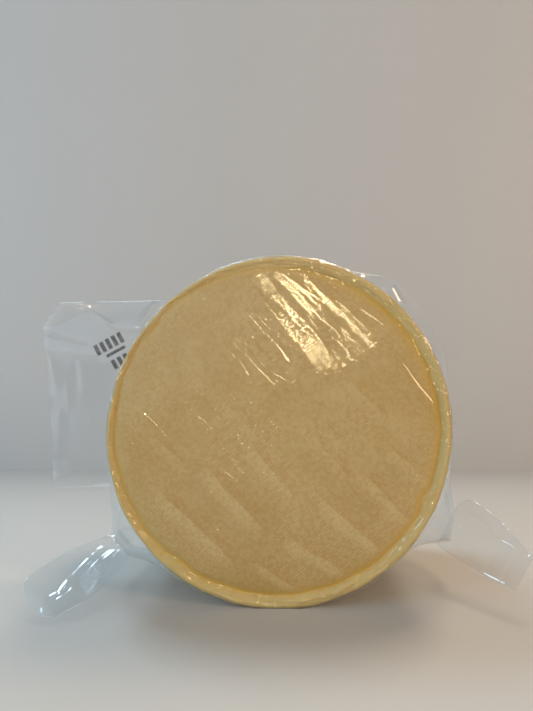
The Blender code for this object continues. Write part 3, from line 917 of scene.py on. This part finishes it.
def film_point(settings, angle, zone, share, face):
    outward = on_wheel(angle, 1.0, 0.0) - on_wheel(angle, 0.0, 0.0)
    if zone == "side":
        tent = tent_at(angle)
        point = film_edge(settings, angle, face).lerp(seam_point(angle), share)
        if tent:
            ahead = film_edge(settings, angle, face).lerp(seam_point(angle), 1.0 - (1.0 - share) ** 2)
            point.x, point.z = ahead.x, ahead.z
        if face == FRONT:
            start, end, height = RIM_BULGE
            swell = math.sin(math.pi * share ** 0.6) * smooth_bump(angle, start, end) ** 0.7
            point += outward * height * swell
        folds = SIDE_FOLDS * ring_wander(angle, 90.0, share * 1.5 + face)
        if tent:
            spread = math.sin(tent[3] * TENT_PLEAT_TURNS + 2.0 * wander(share * 3.0, face, 2.0))
            folds += TENT_PLEATS * smooth_bump(share, 0.0, 1.05) * spread
        point += outward * folds * min(share * 8.0, 1.0) * (1.0 - share)
    else:
        bare = cheese_point(FILM_LUMPS, angle, zone, share, face)
        if zone == "disc":
            near = math.exp(-(1.0 - share) * groove_radius(angle, face) / SHOULDER_FALL)
            lift = (1.0 - film_start(angle)) * groove_depth(angle, face) * near
            lift += face_waves(bare.x, bare.z, face, settings) * (1.0 - 0.5 * near)
        else:
            slope = film_start(angle) * max(1.0 - share / FILM_LIP_END, 0.0)
            lift = groove_depth(angle, face) * max(lip_drop(share) - slope, 0.0) * (share < FILM_LIP_END)
            lift += settings.crinkle * abs(puckers(angle, share, face))
            lift += 0.6 * settings.crinkle * ring_wander(angle, 230.0, share * 5.0)
        point = bare + Vector((0.0, face * (settings.standoff + lift), 0.0))
        if zone == "lip":
            slack = 0.55 + 0.9 * ring_wander(angle, 16.0, 4.0 * face)
            slack += 0.5 * ring_wander(angle, 120.0, 7.0 * face)
            spread = settings.standoff + settings.rim_slack * max(slack, 0.0)
            point += outward * spread * smooth_step(0.4, 1.0, share)
    point.z = max(point.z, TABLE_CLEARANCE)
    return point


def rim_mark(zone, share, _face):
    """How much the film is crinkled."""
    if zone == "disc":
        return smooth_step(0.955, 1.0, share)
    return 1.0 if zone == "lip" else 1.0 - 0.8 * smooth_step(0.0, 0.3, share)


def rim_haze_and_sheen(zone, share, _face):
    """How milky the film is on the side, and the painted pale sheen where it turns over the rim's edge."""
    if zone == "lip":
        # Painted sheen: the film is made evenly pale over the rim's edge, standing for the light on its fine
        # puckers.
        return EDGE_SHEEN * smooth_step(0.80, 1.0, share)
    return SIDE_HAZE if zone == "side" else 0.0


class CHEESE_OT_wrap_film(bpy.types.Operator):
    """Lay the two tight film layers over the faces, rim and side of the wheel"""
    bl_idname = "cheese.wrap_film"
    bl_label = "Wrap the tight film"

    def execute(self, context):
        settings = context.scene.cheese_film
        material = film_material("tight film", settings, context.scene.cheese_wheel, tight=True)
        for name, face in (("film_front", FRONT), ("film_back", BACK)):
            rows = [(zone, share, face) for zone, share in half_rows(*FILM_ROWS[face])]
            bm = turned(rows, settings.turn_steps, functools.partial(film_point, settings), closed_end=False)
            film = to_object(name, bm, material)
            mark(film, "rim", rows, rim_mark)
            mark(film, "haze_and_sheen", rows, rim_haze_and_sheen)
            keep(film, "vacuum_bag")
        return {"FINISHED"}


def fin_reach(angle):
    corner = CORNER_REACH * smooth_bump(angle, *CORNER_ANGLES) ** 0.5
    fray = sum(height * math.sin(math.radians(angle * count)) for height, count in FRAYS)
    ends = min((angle - FIN_START) / FIN_TAPER, (FIN_END - angle) / FIN_TAPER, 1.0)
    return (FIN_REACH + corner + fray) * max(ends, 0.12)


def fin_point(u, v):
    """The welded fin: u round the wheel, v from the seam to the free edge."""
    angle = FIN_START + u * (FIN_END - FIN_START)
    base = seam_point(angle)
    tent = tent_at(angle)
    reach = fin_reach(angle)
    if tent:
        reach = min(reach, 0.0016 + 0.004 * abs(tent[3] - 0.5) ** 2)
    radius = math.hypot(base.x, base.z - CENTRE_HEIGHT) + v * reach
    loose = v * reach / FIN_REACH
    calm = 1.0 - 0.95 * smooth_bump(angle, *CORNER_ANGLES) ** 0.4
    wave = 0.5 * FRILL_HEIGHT * calm * min(loose, 1.6) * math.sin(math.radians(FRILL_COUNT * angle))
    wave += 0.0005 * calm * loose * wander(angle * 0.12, v * 2.0, 1.0)
    wave += 0.0004 * wander(angle * 0.9, v * 5.0, 4.0) * smooth_bump(angle, 64.0, 88.0)
    wave -= straight_pleat(on_wheel(angle, radius, 0.0), CORNER_PLEAT)
    if tent:
        angle = math.degrees(math.atan2(base.z - CENTRE_HEIGHT, base.x))
    point = on_wheel(angle, radius, base.y + wave)
    point.z = max(point.z, TABLE_CLEARANCE)
    return point


def fold(distance, half_width):
    """A narrow fold, 1 at its crest, which is sharp."""
    return math.exp(-(math.hypot(distance, 0.15 * half_width) - 0.15 * half_width) / half_width)


def segment_distance(point, start, end):
    """Distance of a point from a straight piece, and the share along it."""
    along = end - start
    share = clamp((point - start).dot(along) / along.length_squared)
    return (point - start - along * share).length, share


def straight_pleat(point, pleat):
    """Height of a flat strip that a crease leaves in a sheet of the XZ plane."""
    start, end, half_width, tilt, lift = pleat
    run = (end - start).normalized()
    along = (point - start).dot(run)
    offset = (point - start).dot(Vector((-run.z, 0.0, run.x)))
    near = clamp(offset, -half_width, half_width)
    height = lift + tilt * near - PLEAT_FALL * (abs(offset) - abs(near))
    inside = min(along, (end - start).length - along) / PLEAT_END
    return max(height, 0.0) * clamp(inside)


def between(rows, place):
    """The rows' values at a place between their first values."""
    for low, high in zip(rows, rows[1:]):
        if place <= high[0]:
            share = max((place - low[0]) / (high[0] - low[0]), 0.0)
            return [a + share * (b - a) for a, b in zip(low[1:], high[1:])]
    return rows[-1][1:]


def crease_places(creases, u, v, width):
    """For each crease, the distance of a place from its middle, the part of that on its flat strip,
    and how much of the crease is left here. A crease: its half width, and rows of along and across."""
    for half_width, rows in creases:
        offset = (v - between(rows, u)[0]) * width
        left = min(u - rows[0][0], rows[-1][0] - u) / 0.03
        yield offset, clamp(offset, -half_width, half_width), clamp(left)


def ear_surface(pairs, sheet_rows, step, creases, seed):
    """A corner between two edge curves: a calm sheet, whose rows from the neck to the free end say
    along, tilt and lift, with creases that are flat strips turned from it by step."""
    first = [pair[0] for pair in pairs]
    second = [pair[1] for pair in pairs]

    def surface(u, v):
        start, end = curve_point(first, u), curve_point(second, u)
        point = start.lerp(end, v)
        normal = (curve_point(first, u + 0.02) - curve_point(first, u - 0.02)).cross(end - start).normalized()
        width = (end - start).length
        tilt, lift = between(sheet_rows, u)
        rise = lift + (tilt - step) * (v - 0.5) * width + 0.00004 * wander(u * 4.0, v * 6.0, seed)
        for _offset, near, left in crease_places(creases, u, v, width):
            rise += step * near * left
        return point + normal * rise * smooth_step(0.0, 0.10, u)

    def haze_and_sheen(u, v):
        """Milky near the neck and at the free end, with a faint painted highlight along the creases."""
        value = 0.01 + 0.18 * math.exp(-(u / 0.08) ** 2) + 0.12 * math.exp(-((1.0 - u) / 0.02) ** 2)
        width = (curve_point(second, u) - curve_point(first, u)).length
        for offset, near, left in crease_places(creases, u, v, width):
            # Painted highlight: a faint pale line along each crease, for the light that the crease catches.
            value += 0.14 * left * math.exp(-abs(offset - near) / 0.00035)
        return value
    return surface, haze_and_sheen


def flap_flat(u, v):
    return polyline_point(FLAP_INNER, v).lerp(polyline_point(FLAP_OUTER, v), u)


def flap_point(u, v):
    point = flap_flat(u, v)
    rise = 0.0022 * math.sin(math.pi * u * 1.3) * math.cos(2.2 * math.pi * v)
    for start, end, height, half_width in END_FOLDS:
        distance, share = segment_distance(point, start, end)
        rise -= height * fold(distance, half_width) * (0.35 + 0.65 * math.sin(math.pi * share) ** 0.5)
    rise += 0.0006 * wander(point.x * 40.0, point.z * 40.0, 6.0) - straight_pleat(point, END_PLEAT)
    return point + Vector((0.0, rise, 0.0))


def flap_haze_and_sheen(u, v):
    """Milky along the welded edge and at the folded corner, with a painted pale highlight over the folds."""
    point = flap_flat(u, v)
    side = (FLAP_OUTER[1] - point).length if point.z > FLAP_OUTER[1].z else 1.0
    edge = min((1.0 - u) * FLAP_WIDTH, (1.0 - v) * FLAP_LENGTH, side)
    value = 0.08 + 0.26 * (1.0 - smooth_step(0.2 * HEM_WIDTH, 1.6 * HEM_WIDTH, edge))
    fold_x, fold_z, slope = FOLDED_CORNER
    folded = point.z - fold_z - slope * (point.x - fold_x)
    value += 0.12 * smooth_step(-0.001, 0.001, folded) * smooth_step(-0.080, -0.090, point.x)
    # Painted highlight: a pale line over each fold, stronger for higher folds.
    for start, end, height, half_width in END_FOLDS:
        distance, share = segment_distance(point, start, end)
        value += 200.0 * max(height, 0.0) * fold(distance, half_width) * math.sin(math.pi * share) ** 0.5
    return min(value * (0.75 + 0.6 * wander(point.x * 120.0, point.z * 120.0, 1.0)), 1.0)


def free_edges(surface):
    """Route round the three free edges of a sheet."""
    steps = [index / EDGE_STEPS for index in range(EDGE_STEPS + 1)]
    return ([surface(step, 0.0) for step in steps] + [surface(1.0, step) for step in steps[1:]]
            + [surface(1.0 - step, 1.0) for step in steps[1:]])


class CHEESE_OT_add_loose_film(bpy.types.Operator):
    """Add the fin round the wheel, the two pinched corners, the sealed end and their cut edges"""
    bl_idname = "cheese.add_loose_film"
    bl_label = "Add the loose film"

    def execute(self, context):
        settings = context.scene.cheese_film
        material = film_material("loose film", settings, context.scene.cheese_wheel, tight=False)
        left, left_haze_and_sheen = ear_surface(LEFT_EAR, LEFT_SHEET, LEFT_STEP, LEFT_CREASES, 2.0)
        right, right_haze_and_sheen = ear_surface(RIGHT_EAR, RIGHT_SHEET, RIGHT_STEP, RIGHT_CREASES, 5.0)
        for name, steps, surface, haze_and_sheen in (
            ("film_fin", FIN_STEPS, fin_point, lambda u, v: 0.03 + 0.12 * v ** 3),
            ("film_corner_left", CORNER_STEPS, left, left_haze_and_sheen),
            ("film_corner_right", CORNER_STEPS, right, right_haze_and_sheen),
            ("film_end", END_STEPS, flap_point, flap_haze_and_sheen),
        ):
            keep(to_object(name, sheet(*steps, surface, haze_and_sheen), material), "vacuum_bag")

        routes = [[fin_point(index / FIN_EDGE_STEPS, 1.0) for index in range(FIN_EDGE_STEPS + 1)]]
        routes += [free_edges(surface) for surface in (left, right, flap_point)]
        bm = bmesh.new()
        for route in routes:
            bead = edge_tube(route, settings.edge_radius)
            bm.from_mesh(bead)
            bpy.data.meshes.remove(bead)
        edges = to_object("film_edges", bm, material)
        haze_and_sheen = edges.data.attributes.new("haze_and_sheen", "FLOAT", "POINT")
        haze_and_sheen.data.foreach_set("value", [CUT_HAZE] * len(edges.data.vertices))
        keep(edges, "vacuum_bag")
        return {"FINISHED"}


class CHEESE_OT_print_bars(bpy.types.Operator):
    """Print a few plain bars on the bag's sealed end"""
    bl_idname = "cheese.print_bars"
    bl_label = "Print the bars"

    def execute(self, context):
        settings = context.scene.cheese_film
        material = ink_material(settings)
        right = Vector((math.cos(BAR_TURN), 0.0, math.sin(BAR_TURN)))
        up = Vector((-math.sin(BAR_TURN), 0.0, math.cos(BAR_TURN)))
        bm = bmesh.new()
        for across, height, width, tall in BARS:
            made = bmesh.ops.create_grid(bm, x_segments=6, y_segments=3, size=0.5)
            for vert in made["verts"]:
                flat = BAR_CENTRE + right * (across + vert.co.x * width) + up * (height + vert.co.y * tall)
                vert.co = flap_point(*flap_place(flat)) + Vector((0.0, -BAR_GAP, 0.0))
        keep(to_object("print_bars", bm, material), "vacuum_bag")
        return {"FINISHED"}


def flap_place(point):
    """u and v of the sealed end under a point of the XZ plane."""
    low, high = 0.0, 1.0
    for _ in range(30):
        v = 0.5 * (low + high)
        inner = polyline_point(FLAP_INNER, v)
        outer = polyline_point(FLAP_OUTER, v)
        u = (point.x - inner.x) / (outer.x - inner.x)
        height = inner.z + u * (outer.z - inner.z)
        if height > point.z:
            low = v
        else:
            high = v
    return u, v


# ---------------------------------------------------------------- table, wall, lights and camera
def add_light(name, place, shape, size, size_y, colour, power):
    light = bpy.data.lights.new(name, "AREA")
    light.shape = shape
    light.size, light.size_y = size, size_y
    light.color = colour
    light.energy = power
    obj = bpy.data.objects.new(name, light)
    obj.location = place
    obj.rotation_euler = (Vector(TARGET) - Vector(place)).to_track_quat("-Z", "Y").to_euler()
    bpy.context.scene.collection.objects.link(obj)


def rectangle(name, corners, material):
    """A flat rectangle between two opposite corners, facing up or towards -Y."""
    low, high = corners
    bm = bmesh.new()
    bmesh.ops.create_grid(bm, x_segments=1, y_segments=1, size=1.0)
    for vert in bm.verts:
        right, up = vert.co.x > 0.0, vert.co.y > 0.0
        vert.co = Vector((high[0] if right else low[0], high[1] if up else low[1], high[2] if up else low[2]))
    return to_object(name, bm, material)


def soft_room():
    """World light: cool towards -X, warm towards +X, brightest high up behind the camera's left."""
    world = bpy.data.worlds.new("soft room")
    world.use_nodes = True
    n = Nodes(world.node_tree)
    direction = n.add("ShaderNodeTexCoord").outputs["Generated"]
    side = n.span(n.xyz(direction)["X"], -0.8, 0.8)
    bright = n.compared("DOT_PRODUCT", direction, Vector(BRIGHT_SIDE).normalized())
    background = n.tree.nodes["Background"]
    n.link(n.mix(side, COOL, WARM), background.inputs["Color"])
    n.link(n.span(bright, 0.55, 1.0, DIM, BRIGHT), background.inputs["Strength"])
    return world


class CHEESE_OT_set_stage(bpy.types.Operator):
    """Set the table, the wall, the lights and the camera"""
    bl_idname = "cheese.set_stage"
    bl_label = "Set the stage"

    def execute(self, context):
        settings = context.scene.cheese_stage
        face = -HALF_DEPTH
        wall_y = face + settings.wall_gap
        side = STAGE_HALF_WIDTH
        table = rectangle("table", ((-side, STAGE_FRONT, 0.0), (side, wall_y, 0.0)),
                          stage_material("white table", settings.table, 9.0))
        wall = rectangle("wall", ((-side, wall_y, WALL_LOW), (side, wall_y, WALL_HIGH)),
                         stage_material("pale wall", settings.wall, 4.0))
        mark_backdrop(table, wall)

        for light in LIGHTS:
            add_light(*light)
        context.scene.world = soft_room()
        context.scene.view_settings.view_transform = "Standard"

        lens = bpy.data.cameras.new("camera")
        lens.lens = settings.lens
        lens.sensor_width = 36.0
        lens.clip_start = 0.01
        camera = bpy.data.objects.new("camera", lens)
        camera.location = (settings.camera_side, face - settings.camera_distance, settings.camera_height)
        camera.rotation_euler = (math.radians(90.0), 0.0, 0.0)
        context.scene.collection.objects.link(camera)
        context.scene.camera = camera
        return {"FINISHED"}


# ---------------------------------------------------------------- add-on
class CHEESE_PT_panel(bpy.types.Panel):
    """Lists the steps that make the cheese wheel and its bag"""
    bl_idname = "CHEESE_PT_panel"
    bl_label = "Cheese wheel"
    bl_space_type = "VIEW_3D"
    bl_region_type = "UI"
    bl_category = "Cheese"

    def draw(self, context):
        column = self.layout.column(align=True)
        for operator in OPERATORS:
            column.operator(operator.bl_idname)
        for group in (context.scene.cheese_wheel, context.scene.cheese_film, context.scene.cheese_stage):
            box = self.layout.box()
            for name in group.bl_rna.properties.keys():
                if name not in {"rna_type", "name"}:
                    box.prop(group, name)


SETTINGS = (("cheese_wheel", CheeseSettings), ("cheese_film", FilmSettings), ("cheese_stage", StageSettings))
OPERATORS = (CHEESE_OT_press_wheel, CHEESE_OT_wrap_film, CHEESE_OT_add_loose_film,
             CHEESE_OT_print_bars, CHEESE_OT_set_stage)


def register():
    for name, group in SETTINGS:
        bpy.utils.register_class(group)
        setattr(bpy.types.Scene, name, PointerProperty(type=group))
    for cls in (*OPERATORS, CHEESE_PT_panel):
        bpy.utils.register_class(cls)


def unregister():
    for cls in reversed((*OPERATORS, CHEESE_PT_panel)):
        bpy.utils.unregister_class(cls)
    for name, group in reversed(SETTINGS):
        delattr(bpy.types.Scene, name)
        bpy.utils.unregister_class(group)


def write_sizes():
    """The frame's box and the visual model's box, as plain lists."""
    boxes = {"cad": CAD_BOX, "visual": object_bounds()}
    rows = {name: [list(corner) for corner in box] for name, box in boxes.items()}


def main():
    register()
    bpy.ops.cheese.press_wheel()
    bpy.ops.cheese.wrap_film()
    bpy.ops.cheese.add_loose_film()
    bpy.ops.cheese.print_bars()
    bpy.ops.cheese.set_stage()
    write_sizes()


if __name__ == "__main__":
    main()
